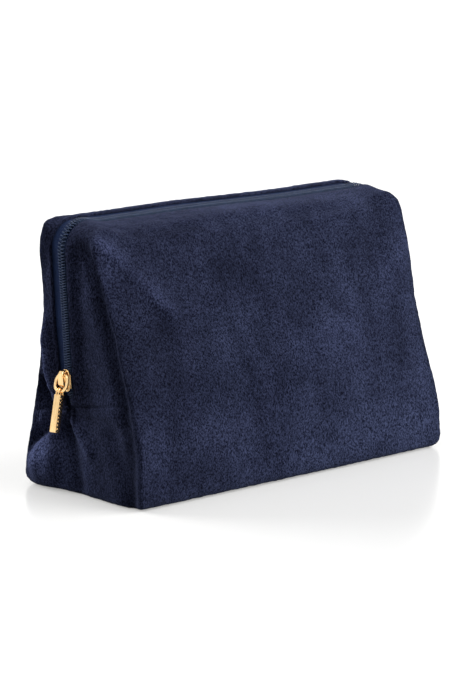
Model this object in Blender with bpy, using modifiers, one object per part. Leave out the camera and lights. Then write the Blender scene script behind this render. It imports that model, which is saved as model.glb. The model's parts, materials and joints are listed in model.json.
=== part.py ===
"""Zippered pouch: a soft, padded toiletry pouch that stands on a boxed base.

Metres, +Z up.  The origin is the middle of the base, on the surface the pouch stands on.
+X runs along the length (the slider rests on the -X end), -Y is the front, +Y the back.

The cloth shell is cut into the flat panels that it folds into.  Each wall is built in layers from
the outside in: pile cloth, padding, lining.  A coil zip runs up one end, over the top and down the
other end.  The upper front wall folds outwards about a crease just above the parked slider.
"""
import math

import bmesh
import bpy
import numpy as np
from mathutils import Vector

# ---- driving dimensions -------------------------------------------------------------------------
LENGTH = 0.250            # end to end, along X
HEIGHT = 0.160            # floor to the top of the zip band
BASE_DEPTH = 0.102        # front to back on the floor
TOP_FRONT_Y = -0.0075     # where the front wall meets the top band
TOP_BACK_Y = 0.033        # where the back wall meets the top band
BELLY_Z = 0.045           # the front wall stands upright below this height
BACK_KNEE_Z = 0.095       # the back wall stands upright above this height
CORNER_RADIUS = 0.018     # rounding of the two top corners, seen from the front
END_SEAM_Z = 0.052        # seam across each end, where the zip starts

CLOTH = 0.0016            # pile cloth
PADDING = 0.0018          # foam interlining that keeps the walls upright
LINING = 0.0005           # woven lining
GAP = 0.0003              # clearance between neighbouring pieces

ZIP_LEAN = 0.075          # how far the zip line leans back for each metre of height
TAPE = 0.0005             # thickness of the zip tape
TAPE_WIDTH = 0.0135       # each tape, from the zip line to its sewn edge
TAPE_MARGIN = 0.0019      # between the back tape's edge and the back wall's cloth, at the top
COIL_HEIGHT = 0.0022      # coil, measured out from the tape
COIL_WIDTH = 0.0026       # each of the two coils
COIL_INNER = 0.0005       # each coil starts this far from the zip line
SLOT_FRONT = 0.0006       # from the front coil to the cloth's edge
SLOT_BACK = 0.0069        # from the back coil to the cloth's edge

SLIDER_PARK = 0.0102      # from the end seam up to the parked slider
SLIDER_LENGTH = 0.0124
SLIDER_PLATE = 0.0011
SLIDER_LIP = 0.0009       # the lips that run down beside the coils
SLIDER_SIDE_GAP = 0.0006  # between a coil and a lip
SLIDER_POST = 0.0005      # web between the plates, it runs between the two coils
FACING_GAP = 0.0029       # from the slider's edge to the facings inside the pouch
CREASE_GAP = 0.0013       # from the parked slider up to the front wall's fold line
BRIDGE_WIDTH = 0.0044
BRIDGE_LENGTH = 0.0104
BRIDGE_SHIFT = 0.0010     # the bridge sits this far above the slider's middle
BRIDGE_STOCK = 0.0010
BRIDGE_CHAMFER = 0.0009   # cut off the bridge's two outer corners
BRIDGE_FILLET = 0.0004    # left in its two inner corners
RING_WIRE = 0.0009        # radius of the ring's wire
RING_PLAY = 0.0003        # clearance of the ring under the bridge
RING_SIDE_PLAY = 0.0020   # between the bridge and each leg of the ring
RING_LENGTH = 0.0098      # between wire centres, along the ring
RING_CORNER = 0.0038
RING_TILT = math.radians(18)
EYE_WIRE = 0.00045        # radius of the wire of the bar's eye
EYE_PLAY = 0.00035        # between the ring's wire and the eye
BAR_LENGTH = 0.0220
BAR_WIDTH = 0.0052
BAR_THICKNESS = 0.0034
BAR_BEVEL = 0.0003
BAR_TILT = math.radians(14)  # the bar's lower end leans away from the pouch

LABEL_WIDTH = 0.014
LABEL_LENGTH = 0.024
LABEL_INSET = 0.020       # from the left end
LABEL_DROP = 0.010        # from the back wall's knee down to the label

ARC_STEPS = 6

# ---- what follows from them ---------------------------------------------------------------------
HALF = LENGTH / 2
ARC_Z = HEIGHT - CORNER_RADIUS
FRONT = [(-BASE_DEPTH / 2, 0.0), (-BASE_DEPTH / 2, BELLY_Z), (TOP_FRONT_Y, HEIGHT)]
BACK = [(BASE_DEPTH / 2, 0.0), (TOP_BACK_Y, BACK_KNEE_Z), (TOP_BACK_Y, HEIGHT)]

SLIDER_Z = END_SEAM_Z + SLIDER_PARK + SLIDER_LENGTH / 2
CREASE_Z = SLIDER_Z + SLIDER_LENGTH / 2 + CREASE_GAP
COIL_OUTER = COIL_INNER + COIL_WIDTH
SLIDER_HALF = COIL_OUTER + SLIDER_SIDE_GAP + SLIDER_LIP
BRIDGE_RISE = BRIDGE_STOCK + 2 * (RING_WIRE + RING_PLAY)
RING_HALF_WIDTH = BRIDGE_WIDTH / 2 + RING_SIDE_PLAY + RING_WIRE
EYE_RADIUS = RING_WIRE + EYE_PLAY + EYE_WIRE
EYE_DROP = EYE_RADIUS + RING_PLAY         # from the ring's wire down to the top of the bar

PADDING_DEPTH = CLOTH + GAP
WALL_LINING_DEPTH = PADDING_DEPTH + PADDING + GAP
WALL_STACK = WALL_LINING_DEPTH + LINING + GAP
TAPE_DEPTH = CLOTH + GAP
BAND_LINING_DEPTH = TAPE_DEPTH + TAPE + GAP

ZIP_FROM_BACK = PADDING_DEPTH + TAPE_WIDTH + TAPE_MARGIN

COIL_TOP = COIL_HEIGHT + GAP - TAPE_DEPTH          # how far the coil stands out of the cloth
PLATE_BOTTOM = COIL_TOP + GAP
PLATE_TOP = PLATE_BOTTOM + SLIDER_PLATE
INNER_PLATE_TOP = -(TAPE_DEPTH + TAPE + GAP)
RING_AXIS_OUT = PLATE_TOP + GAP + 0.5 * (BRIDGE_RISE - BRIDGE_STOCK)
BRIDGE_TOP = BRIDGE_SHIFT + BRIDGE_LENGTH / 2
RING_AXIS_UP = BRIDGE_TOP - BRIDGE_STOCK - BRIDGE_FILLET - RING_PLAY - RING_WIRE


def zip_y(z):
    """The zip line's place in Y at a height."""
    return TOP_BACK_Y - ZIP_FROM_BACK - ZIP_LEAN * (HEIGHT - z)


def inward(profile, depth):
    """A wall's (y, z) outline moved inwards by depth, with mitred corners."""
    points = [Vector(p) for p in profile]
    side = 1 if points[0].x < 0 else -1
    runs = [(b - a).normalized() for a, b in zip(points, points[1:])]
    normals = [side * Vector((r.y, -r.x)) for r in runs]
    moved = []
    for i, point in enumerate(points):
        before = normals[max(i - 1, 0)]
        after = normals[min(i, len(normals) - 1)]
        bisector = (before + after).normalized()
        moved.append(point + bisector * (depth / bisector.dot(before)))
    return moved


def wall_y(profile, depth, z):
    """Y of a wall's surface at a depth inside the cloth, at a height."""
    line = inward(profile, depth)
    return float(np.interp(z, [p.y for p in line], [p.x for p in line]))


def half_width(z, inset=0.0):
    """Half the length of the front view's outline at a height."""
    if z <= ARC_Z:
        return HALF - inset
    radius = CORNER_RADIUS - inset
    rise = min(z - ARC_Z, radius)
    return HALF - CORNER_RADIUS + math.sqrt(radius ** 2 - rise ** 2)


# ---- scene ----------------------------------------------------------------------------------------
for old in list(bpy.data.objects):
    bpy.data.objects.remove(old, do_unlink=True)

POUCH = bpy.data.collections.new("zippered_pouch")
TOOLS = bpy.data.collections.new("cutters")
bpy.context.scene.collection.children.link(POUCH)
bpy.context.scene.collection.children.link(TOOLS)


def finish_colour(name, colour, roughness, metallic=0.0):
    """A Principled material for one kind of piece."""
    material = bpy.data.materials.new(name)
    material.use_nodes = True
    shader = material.node_tree.nodes["Principled BSDF"]
    shader.inputs["Base Color"].default_value = (*colour, 1.0)
    shader.inputs["Roughness"].default_value = roughness
    shader.inputs["Metallic"].default_value = metallic
    material.diffuse_color = (*colour, 1.0)
    return material


PILE = finish_colour("navy_pile", (0.022, 0.028, 0.062), 0.9)
FOAM = finish_colour("foam", (0.60, 0.60, 0.58), 0.95)
LINER = finish_colour("navy_lining", (0.020, 0.026, 0.060), 0.7)
TAPE_CLOTH = finish_colour("zip_tape", (0.018, 0.030, 0.075), 0.75)
COIL_NYLON = finish_colour("zip_coil", (0.012, 0.018, 0.045), 0.4)
GOLD = finish_colour("gold_metal", (0.90, 0.62, 0.25), 0.25, 1.0)
LABEL_CLOTH = finish_colour("label", (0.75, 0.75, 0.72), 0.8)


def empty_at(name, location, rotation=(0, 0, 0), parent=None):
    """A helper on a joint's axis."""
    empty = bpy.data.objects.new(name, None)
    POUCH.objects.link(empty)
    empty.location = location
    empty.rotation_euler = rotation
    empty.parent = parent
    return empty


def add_object(name, mesh, material, parent=None):
    """A named piece in the pouch's collection."""
    piece = bpy.data.objects.new(name, mesh)
    mesh.materials.append(material)
    POUCH.objects.link(piece)
    if parent is not None:
        piece.parent = parent
    return piece


def sheet(name, rows, columns, place, thickness, material, parent=None):
    """A grid whose points go where place(row, column) says, given its thickness both ways."""
    form = bmesh.new()
    bmesh.ops.create_grid(form, x_segments=columns - 1, y_segments=rows - 1, size=1.0)
    shift = Vector(parent.location) if parent is not None else Vector()
    for vertex in form.verts:
        column = round((vertex.co.x + 1) / 2 * (columns - 1))
        row = round((vertex.co.y + 1) / 2 * (rows - 1))
        vertex.co = Vector(place(row, column)) - shift
    mesh = bpy.data.meshes.new(name)
    form.to_mesh(mesh)
    form.free()
    piece = add_object(name, mesh, material, parent)
    solid = piece.modifiers.new("thickness", "SOLIDIFY")
    solid.thickness = thickness
    solid.offset = 0.0
    solid.use_even_offset = True
    return piece


def arc_heights(low, high, knee=None):
    """Heights of a wall's rows: its ends, its knee, and steps round the top corner."""
    heights = [low]
    if knee is not None and low < knee < high:
        heights.append(knee)
    if high > ARC_Z:
        radius = high - ARC_Z
        turns = [math.sin(math.pi / 2 * i / ARC_STEPS) for i in range(ARC_STEPS + 1)]
        heights += [ARC_Z + radius * t for t in turns]
    else:
        heights.append(high)
    return heights


def wall(name, profile, low, high, depth, thickness, material, inset=0.0, parent=None):
    """A layer of the front or back wall, between two heights, inset from the ends and the top."""
    middle = depth + thickness / 2
    line = inward(profile, middle)
    top = min(high, line[-1].y - inset)
    heights = arc_heights(low, top, line[1].y)

    def place(row, column):
        z = heights[row]
        width = half_width(z, inset)
        return (width * (2 * column - 1), wall_y(profile, middle, z), z)

    return sheet(name, len(heights), 2, place, thickness, material, parent)


def band_path(part, depth, low):
    """(x, z) points along the ends and the top, at a depth inside them."""
    radius = CORNER_RADIUS - depth
    angles = [math.pi / 2 * i / ARC_STEPS for i in range(ARC_STEPS + 1)]
    centre = HALF - CORNER_RADIUS
    turn = [(centre + radius * math.cos(a), ARC_Z + radius * math.sin(a)) for a in angles]
    rise = [z for z in (low, BACK_KNEE_Z) if z >= low]
    side = [(HALF - depth, z) for z in rise] + turn
    left = [(-x, z) for x, z in side]
    if part == "left":
        return left
    if part == "right":
        return side
    if part == "top":
        return [(-centre + GAP, HEIGHT - depth), (centre - GAP, HEIGHT - depth)]
    return left + side[::-1]


def band(name, part, low, y_near, y_far, depth, thickness, material, parent=None, high=None):
    """A strip of the ends and the top, between two lines that depend on the height."""
    middle = depth + thickness / 2
    path = band_path(part, middle, low)
    if high is not None:
        path = [(path[0][0], low), (path[0][0], high)]

    def place(row, column):
        x, z = path[row]
        return (x, (y_near, y_far)[column](z), z)

    return sheet(name, len(path), 2, place, thickness, material, parent)


def as_mesh(source):
    """A curve object made a mesh, its caps welded, in the same place."""
    bpy.context.view_layer.update()
    seen = source.evaluated_get(bpy.context.evaluated_depsgraph_get())
    mesh = bpy.data.meshes.new_from_object(seen)
    form = bmesh.new()
    form.from_mesh(mesh)
    bmesh.ops.remove_doubles(form, verts=form.verts, dist=1e-6)
    bmesh.ops.recalc_face_normals(form, faces=form.faces)
    form.to_mesh(mesh)
    form.free()
    name = source.name
    matrix = source.matrix_world.copy()
    bpy.data.objects.remove(source, do_unlink=True)
    piece = bpy.data.objects.new(name, mesh)
    piece.matrix_world = matrix
    return piece


def outline_solid(name, points, half_depth):
    """A closed outline in the curve's own XY plane, thickened both ways along Z."""
    curve = bpy.data.curves.new(name, "CURVE")
    curve.dimensions = "2D"
    curve.fill_mode = "BOTH"
    curve.extrude = half_depth
    line = curve.splines.new("POLY")
    line.points.add(len(points) - 1)
    for point, (x, y) in zip(line.points, points):
        point.co = (x, y, 0, 1)
    line.use_cyclic_u = True
    return bpy.data.objects.new(name, curve)


def wire(name, points, radius, closed):
    """A round wire through points."""
    curve = bpy.data.curves.new(name, "CURVE")
    curve.dimensions = "3D"
    curve.bevel_depth = radius
    curve.bevel_resolution = 2
    curve.use_fill_caps = not closed
    line = curve.splines.new("POLY")
    line.points.add(len(points) - 1)
    for point, place in zip(line.points, points):
        point.co = (*place, 1)
    line.use_cyclic_u = closed
    return bpy.data.objects.new(name, curve)


# ---- front, back and base ---------------------------------------------------------------------------
FLOOR_EDGE = CLOTH + 2 * GAP
FRONT_LOW = CREASE_Z - GAP / 2
FRONT_HIGH = CREASE_Z + GAP / 2
front_hinge = empty_at("front_hinge", (0, wall_y(FRONT, 0, CREASE_Z), CREASE_Z))

LAYERS = [
    ("panel", 0.0, CLOTH, PILE, 0.0, FLOOR_EDGE),
    ("padding", PADDING_DEPTH, PADDING, FOAM, WALL_STACK, WALL_STACK + GAP),
    ("lining", WALL_LINING_DEPTH, LINING, LINER, WALL_STACK, WALL_STACK + GAP),
]
for layer, depth, thickness, material, inset, floor in LAYERS:
    wall(f"front_{layer}_lower", FRONT, floor, FRONT_LOW, depth, thickness, material, inset)
    wall(f"front_{layer}_upper", FRONT, FRONT_HIGH, HEIGHT, depth, thickness, material, inset,
         front_hinge)
    wall(f"back_{layer}", BACK, floor, HEIGHT, depth, thickness, material, inset)


def base(name, depth, thickness, material, inset):
    """A flat layer of the floor, inset from the walls."""
    half_x = HALF - inset
    ends = (-BASE_DEPTH / 2 + inset, wall_y(BACK, inset, depth + thickness) if inset else BASE_DEPTH / 2)

    def place(row, column):
        return (half_x * (2 * column - 1), ends[row], depth + thickness / 2)

    return sheet(name, 2, 2, place, thickness, material)


base("base_panel", 0.0, CLOTH, PILE, 0.0)
base("base_padding", PADDING_DEPTH, PADDING, FOAM, PADDING_DEPTH)
base("base_lining", WALL_LINING_DEPTH, LINING, LINER, PADDING_DEPTH)


# ---- ends and the band along the zip ------------------------------------------------------------------
def behind_front(z):
    """Just inside the front wall's cloth."""
    return wall_y(FRONT, PADDING_DEPTH, z)


def before_back(z):
    """Just inside the back wall's cloth."""
    return wall_y(BACK, PADDING_DEPTH, z)


def from_zip(offset):
    """A line beside the zip, offset from it."""
    return lambda z: zip_y(z) + offset


END_LAYERS = [
    ("panel", 0.0, CLOTH, PILE, FLOOR_EDGE),
    ("padding", PADDING_DEPTH, PADDING, FOAM, WALL_STACK + GAP),
    ("lining", WALL_LINING_DEPTH, LINING, LINER, WALL_STACK + GAP),
]
for side in ("left", "right"):
    for layer, depth, thickness, material, floor in END_LAYERS:
        middle = depth + thickness / 2
        sign = -1 if side == "left" else 1
        heights = [floor, BELLY_Z, END_SEAM_Z - GAP / 2]

        def end_place(row, column, sign=sign, middle=middle, heights=heights):
            z = heights[row]
            return (sign * (HALF - middle), (behind_front, before_back)[column](z), z)

        sheet(f"end_{layer}_{side}", len(heights), 2, end_place, thickness, material)

BAND_LOW = END_SEAM_Z + GAP / 2
BAND_LAYERS = [
    ("wrap", 0.0, CLOTH, PILE, COIL_OUTER + SLOT_FRONT, COIL_OUTER + SLOT_BACK),
    ("facing", BAND_LINING_DEPTH, LINING, LINER, SLIDER_HALF + FACING_GAP, SLIDER_HALF + FACING_GAP),
]
for layer, depth, thickness, material, slot_front, slot_back in BAND_LAYERS:
    near = from_zip(-slot_front)
    far = from_zip(slot_back)
    for part in ("left", "top", "right"):
        band(f"front_{layer}_{part}", part, FRONT_HIGH, behind_front, near, depth, thickness, material,
             front_hinge)
        band(f"back_{layer}_{part}", part, BAND_LOW, far, before_back, depth, thickness, material)
    for part in ("left", "right"):
        band(f"front_{layer}_foot_{part}", part, BAND_LOW, behind_front, near, depth, thickness,
             material, high=FRONT_LOW)

# ---- zip tapes and coils --------------------------------------------------------------------------------
ZIP_STRIPS = [
    ("tape", TAPE_DEPTH, TAPE, TAPE_CLOTH, COIL_INNER, TAPE_WIDTH),
    ("coil", -COIL_TOP, COIL_HEIGHT, COIL_NYLON, COIL_INNER, COIL_OUTER),
]
for strip, depth, thickness, material, inner, outer in ZIP_STRIPS:
    near = from_zip(-outer), from_zip(-inner)
    far = from_zip(inner), from_zip(outer)
    band(f"zip_{strip}_back", "all", BAND_LOW, *far, depth, thickness, material)
    band(f"zip_{strip}_front", "all", FRONT_HIGH, *near, depth, thickness, material, front_hinge)
    for part in ("left", "right"):
        band(f"zip_{strip}_foot_{part}", part, BAND_LOW, *near, depth, thickness, material,
             high=FRONT_LOW)

# ---- slider and puller ----------------------------------------------------------------------------------
# Built about the slider's own frame: X is the distance out from the cloth times -1, Z is along the zip.
slider_frame = empty_at("slider_frame", (-HALF, zip_y(SLIDER_Z), SLIDER_Z),
                        (-math.atan(ZIP_LEAN), 0, 0))


def place_solid(piece, material, parent, rotation=(0, 0, 0)):
    """Link a solid under its joint's empty, turned in that frame."""
    piece.data.materials.append(material)
    POUCH.objects.link(piece)
    piece.parent = parent
    piece.rotation_euler = rotation
    return piece


def slider_outline():
    """The slider's section across the zip: two plates and the web between them."""
    half = SLIDER_HALF
    lip = half - SLIDER_LIP
    web = SLIDER_POST / 2
    inner_half = half - SLIDER_LIP / 2
    bottom = INNER_PLATE_TOP - SLIDER_PLATE
    upper = [(PLATE_TOP, half), (GAP, half), (GAP, lip), (PLATE_BOTTOM, lip), (PLATE_BOTTOM, web)]
    lower = [(INNER_PLATE_TOP, web), (INNER_PLATE_TOP, inner_half), (bottom, inner_half)]
    right = upper + lower
    return [(-out, y) for out, y in right] + [(-out, -y) for out, y in reversed(right)]


body = as_mesh(outline_solid("slider_body", slider_outline(), SLIDER_LENGTH / 2))
place_solid(body, GOLD, slider_frame)


def bridge_outline():
    """The arch that the ring hangs in, seen along Y: (out, up) points."""
    foot = PLATE_TOP + GAP
    top = foot + BRIDGE_RISE
    under = top - BRIDGE_STOCK
    half = BRIDGE_LENGTH / 2
    inner_half = half - BRIDGE_STOCK
    outer = [(foot, half), (top - BRIDGE_CHAMFER, half), (top, half - BRIDGE_CHAMFER)]
    inner = [(foot, inner_half), (under - BRIDGE_FILLET, inner_half),
             (under, inner_half - BRIDGE_FILLET)]
    arch = outer + [(out, -up) for out, up in reversed(outer)]
    hollow = inner + [(out, -up) for out, up in reversed(inner)]
    return [(-out, up + BRIDGE_SHIFT) for out, up in arch + hollow[::-1]]


bridge = as_mesh(outline_solid("slider_bridge", bridge_outline(), BRIDGE_WIDTH / 2))
place_solid(bridge, GOLD, slider_frame, rotation=(math.pi / 2, 0, 0))

ring_frame = empty_at("ring_frame", (-RING_AXIS_OUT, 0, RING_AXIS_UP), (0, RING_TILT, 0), slider_frame)


def rounded_loop(half_width_y, length, radius):
    """A rounded rectangle in the YZ plane that hangs down from the origin."""
    points = []
    corners = [(half_width_y - radius, -radius, 0), (-(half_width_y - radius), -radius, 1),
               (-(half_width_y - radius), -(length - radius), 2),
               (half_width_y - radius, -(length - radius), 3)]
    for y, z, quarter in corners:
        for i in range(5):
            angle = math.pi / 2 * (quarter + i / 4)
            points.append((0, y + radius * math.cos(angle), z + radius * math.sin(angle)))
    return points


ring = as_mesh(wire("pull_ring", rounded_loop(RING_HALF_WIDTH, RING_LENGTH, RING_CORNER), RING_WIRE, True))
place_solid(ring, GOLD, ring_frame)

bar_frame = empty_at("bar_frame", (0, 0, -RING_LENGTH), (0, BAR_TILT - RING_TILT, 0), ring_frame)


def eye_points():
    """A loop over the ring's wire whose legs end inside the bar."""
    legs_end = -(EYE_DROP + 2 * EYE_WIRE)
    arch = [(EYE_RADIUS * math.cos(math.pi * i / 10), 0, EYE_RADIUS * math.sin(math.pi * i / 10))
            for i in range(11)]
    return [(EYE_RADIUS, 0, legs_end)] + arch + [(-EYE_RADIUS, 0, legs_end)]


eye = as_mesh(wire("bar_eye", eye_points(), EYE_WIRE, False))
TOOLS.objects.link(eye)
eye.hide_render = True
eye.display_type = "WIRE"
eye.parent = bar_frame

bar_form = bmesh.new()
bmesh.ops.create_cube(bar_form, size=1.0)
for vertex in bar_form.verts:
    x, y, z = vertex.co
    vertex.co = (x * BAR_THICKNESS, y * BAR_WIDTH, (z - 0.5) * BAR_LENGTH - EYE_DROP)
bmesh.ops.bevel(bar_form, geom=bar_form.edges, offset=BAR_BEVEL, segments=1, affect="EDGES")
bar_mesh = bpy.data.meshes.new("pull_bar")
bar_form.to_mesh(bar_mesh)
bar_form.free()
bar = place_solid(bpy.data.objects.new("pull_bar", bar_mesh), GOLD, bar_frame)
join = bar.modifiers.new("eye", "BOOLEAN")
join.operation = "UNION"
join.object = eye

# ---- care label, blank, sewn against the back lining ------------------------------------------------------
LABEL_DEPTH = WALL_STACK + GAP
LABEL_TOP = BACK_KNEE_Z - LABEL_DROP


def label_place(row, column):
    """The label's corners, flat on the back lining near the left end."""
    z = LABEL_TOP - LABEL_LENGTH * (1 - row)
    x = -HALF + LABEL_INSET + LABEL_WIDTH * column
    return (x, wall_y(BACK, LABEL_DEPTH + LINING / 2, z), z)


sheet("care_label", 2, 2, label_place, LINING, LABEL_CLOTH)
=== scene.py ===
"""The looks of the zippered pouch: velour cloth, coil zip, gold slider with ring and bar, lining.

Metres, +Z up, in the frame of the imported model.  -Y is the front, the slider rests on the -X end.
"""
import json
import math

import bmesh
import bpy
import numpy as np
from mathutils import Matrix, Vector, noise


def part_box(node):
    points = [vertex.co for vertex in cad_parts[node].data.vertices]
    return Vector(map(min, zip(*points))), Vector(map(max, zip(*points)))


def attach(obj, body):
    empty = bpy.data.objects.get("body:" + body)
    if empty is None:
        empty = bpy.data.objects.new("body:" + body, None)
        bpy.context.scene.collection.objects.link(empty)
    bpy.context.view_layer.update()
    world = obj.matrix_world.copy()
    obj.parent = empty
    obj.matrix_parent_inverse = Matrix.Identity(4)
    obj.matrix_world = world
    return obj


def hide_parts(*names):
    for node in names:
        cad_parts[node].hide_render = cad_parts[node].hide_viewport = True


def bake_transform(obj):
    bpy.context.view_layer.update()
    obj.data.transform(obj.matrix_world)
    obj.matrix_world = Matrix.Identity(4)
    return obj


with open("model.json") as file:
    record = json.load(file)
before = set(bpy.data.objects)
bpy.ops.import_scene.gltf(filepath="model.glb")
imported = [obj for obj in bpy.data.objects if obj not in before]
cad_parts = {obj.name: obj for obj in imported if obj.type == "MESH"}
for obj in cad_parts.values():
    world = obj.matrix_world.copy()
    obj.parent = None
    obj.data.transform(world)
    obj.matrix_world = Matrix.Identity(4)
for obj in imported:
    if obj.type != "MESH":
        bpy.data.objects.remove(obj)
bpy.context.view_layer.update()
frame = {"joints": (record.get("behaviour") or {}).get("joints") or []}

# ---- sizes, from the frame ----
JOINTS = {joint["name"]: joint for joint in frame["joints"]}
base_low, base_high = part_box("base_panel")
slider_low, slider_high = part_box("slider_body")

END_X = base_high.x
FRONT_FOOT = base_low.y
BACK_FOOT = base_high.y
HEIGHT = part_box("back_wrap_top")[1].z
CORNER = 0.018
ARC_Z = HEIGHT - CORNER
CENTRE_X = END_X - CORNER
SEAM_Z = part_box("zip_tape_back")[0].z
ZIP_WAY = Vector(JOINTS["zip_run"]["axis"]).normalized()
ZIP_LEAN = ZIP_WAY.y / ZIP_WAY.z
SLIDER_MID = (slider_low + slider_high) / 2
RING_PIVOT = Vector(JOINTS["pull_ring_swing"]["pos_m"])
BAR_PIVOT = Vector(JOINTS["pull_bar_swing"]["pos_m"])

TOP_FRONT_Y = -0.0075
TOP_BACK_Y = 0.033
BELLY_Z = 0.045
BACK_KNEE_Z = 0.095
SEAM_RISE = 0.18
SEAM_DROP = 0.0004
STRIP_BACK = 0.0062
STRIP_FRONT = 0.012
SLOT_FRONT = 0.0037
SLOT_BACK = 0.0100
ROLL = 0.00065
TAPE_DEPTH = 0.0019
TAPE_WIDTH = 0.0135
TAPE_GAP = 0.0005
TAPE_THICK = 0.0005
COIL_OUTER = 0.0031
COIL_PITCH = 0.0015
CLOTH = 0.0016
LINING_THICK = 0.0004
WALL_STACK = 0.0042


def zip_y(z):
    """The zip line's place in Y at a height."""
    return SLIDER_MID.y + ZIP_LEAN * (z - SLIDER_MID.z)


# ---- materials ----
def new_material(name):
    """A node material, with its tree, shader and a helper that adds nodes."""
    material = bpy.data.materials.new(name)
    material.use_nodes = True
    tree = material.node_tree
    shader = tree.nodes["Principled BSDF"]

    def add(kind, **values):
        node = tree.nodes.new(kind)
        for key, value in values.items():
            if key in node.inputs:
                node.inputs[key].default_value = value
            else:
                setattr(node, key, value)
        return node

    return material, tree, shader, add


def ramp(tree, add, source, stops):
    """A colour ramp driven by a value."""
    node = add("ShaderNodeValToRGB")
    elements = node.color_ramp.elements
    for element, (place, colour) in zip(elements, stops):
        element.position = place
        element.color = (*colour, 1)
    for place, colour in stops[2:]:
        element = elements.new(place)
        element.color = (*colour, 1)
    tree.links.new(source, node.inputs["Fac"])
    return node.outputs["Color"]


def mixed(tree, add, a, b, kind="MULTIPLY"):
    """Two colours multiplied or added."""
    node = add("ShaderNodeMix", data_type="RGBA", blend_type=kind)
    tree.links.new(a, node.inputs["A"])
    tree.links.new(b, node.inputs["B"])
    node.inputs["Factor"].default_value = 1.0
    return node.outputs["Result"]


def by_light_ray(tree, seen, lighting, output):
    """One shader for what the camera and reflections see, another for the light that it gives."""
    ray = tree.nodes.new("ShaderNodeLightPath")
    pick = tree.nodes.new("ShaderNodeMixShader")
    tree.links.new(ray.outputs["Is Diffuse Ray"], pick.inputs["Fac"])
    tree.links.new(seen, pick.inputs[1])
    tree.links.new(lighting, pick.inputs[2])
    tree.links.new(pick.outputs["Shader"], tree.nodes[output].inputs["Surface"])


def object_noise(tree, add, scale, detail=2.0, roughness=0.5, stretch=None):
    """Noise on Object coordinates."""
    place = add("ShaderNodeTexCoord")
    out = place.outputs["Object"]
    if stretch is not None:
        mapping = add("ShaderNodeMapping")
        mapping.inputs["Scale"].default_value = stretch
        tree.links.new(out, mapping.inputs["Vector"])
        out = mapping.outputs["Vector"]
    node = add("ShaderNodeTexNoise", Scale=scale, Detail=detail, Roughness=roughness)
    tree.links.new(out, node.inputs["Vector"])
    return node.outputs["Fac"]


def share_along(tree, add, axis, low, high):
    """How far along an axis of the Object coordinates a point is between two places, 0 to 1."""
    place = add("ShaderNodeTexCoord")
    split = add("ShaderNodeSeparateXYZ")
    tree.links.new(place.outputs["Object"], split.inputs["Vector"])
    share = add("ShaderNodeMapRange", interpolation_type="SMOOTHSTEP")
    share.inputs["From Min"].default_value = low
    share.inputs["From Max"].default_value = high
    tree.links.new(split.outputs[axis], share.inputs["Value"])
    return share.outputs["Result"]


def velour():
    """Navy cotton pile: pile blotches, short tufts and a soft sheen, with painted light: brighter towards
    the right end and the bottom, a painted highlight along the top crest, and painted light and shade from
    the cloth's map.
    """
    material, tree, shader, add = new_material("velour")
    tuft = object_noise(tree, add, 2100.0, 2.0, 0.6, (1.0, 1.0, 0.6))
    clump = object_noise(tree, add, 1150.0, 4.0, 0.75, (1.0, 1.0, 0.65))
    nap = object_noise(tree, add, 60.0, 5.0, 0.65, (1.0, 1.0, 0.6))
    brushing_and_painted_light = object_noise(tree, add, 17.0, 3.0, 0.55, (0.8, 1.0, 1.3))
    fine = ramp(tree, add, clump, [(0.41, (0.0016, 0.0020, 0.0060)), (0.61, (0.0270, 0.0325, 0.0660))])
    broad = ramp(tree, add, nap, [(0.34, (0.72, 0.72, 0.74)), (0.66, (1.26, 1.26, 1.26))])
    wide = ramp(tree, add, brushing_and_painted_light, [(0.34, (0.78, 0.78, 0.80)), (0.66, (1.20, 1.20, 1.18))])
    # painted light: the colour is made brighter towards the right end and towards the bottom
    painted_light_right = ramp(tree, add, share_along(tree, add, "X", -0.124, 0.110),
                     [(0.0, (0.84, 0.84, 0.86)), (1.0, (1.22, 1.24, 1.24))])
    painted_light_low = ramp(tree, add, share_along(tree, add, "Z", 0.010, 0.120),
                  [(0.0, (1.22, 1.23, 1.22)), (1.0, (0.98, 0.98, 0.98))])
    colour = fine
    for layer in (broad, wide, painted_light_right, painted_light_low):
        colour = mixed(tree, add, colour, layer)
    # painted highlight: the top crest is painted lighter in its clumps
    crest = add("ShaderNodeMath", operation="MULTIPLY")
    tree.links.new(share_along(tree, add, "Z", HEIGHT - 0.012, HEIGHT - 0.001), crest.inputs[0])
    tree.links.new(clump, crest.inputs[1])
    painted_crest_highlight = ramp(tree, add, crest.outputs["Value"],
                [(0.15, (0.0, 0.0, 0.0)), (0.62, (0.003, 0.0035, 0.007))])
    colour = mixed(tree, add, colour, painted_crest_highlight, "ADD")
    # painted light and shade: the map's U brightens the colour above 0 and darkens it below 0, by four to
    # the power of U
    painted_light = add("ShaderNodeUVMap", uv_map="nap")
    split = add("ShaderNodeSeparateXYZ")
    tree.links.new(painted_light.outputs["UV"], split.inputs["Vector"])
    strength = add("ShaderNodeMath", operation="POWER")
    strength.inputs[0].default_value = 4.0
    tree.links.new(split.outputs["X"], strength.inputs[1])
    colour_with_painted_light = add("ShaderNodeVectorMath", operation="SCALE")
    tree.links.new(colour, colour_with_painted_light.inputs[0])
    tree.links.new(strength.outputs["Value"], colour_with_painted_light.inputs["Scale"])
    tree.links.new(colour_with_painted_light.outputs["Vector"], shader.inputs["Base Color"])
    shader.inputs["Roughness"].default_value = 1.0
    shader.inputs["Specular IOR Level"].default_value = 0.02
    shader.inputs["Sheen Weight"].default_value = 0.08
    shader.inputs["Sheen Roughness"].default_value = 0.45
    shader.inputs["Sheen Tint"].default_value = (0.50, 0.58, 0.98, 1)
    pile = add("ShaderNodeBump", Strength=0.9, Distance=0.0005)
    tree.links.new(clump, pile.inputs["Height"])
    tip = add("ShaderNodeBump", Strength=0.6, Distance=0.0002)
    tree.links.new(tuft, tip.inputs["Height"])
    tree.links.new(pile.outputs["Normal"], tip.inputs["Normal"])
    tree.links.new(tip.outputs["Normal"], shader.inputs["Normal"])
    return material


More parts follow.
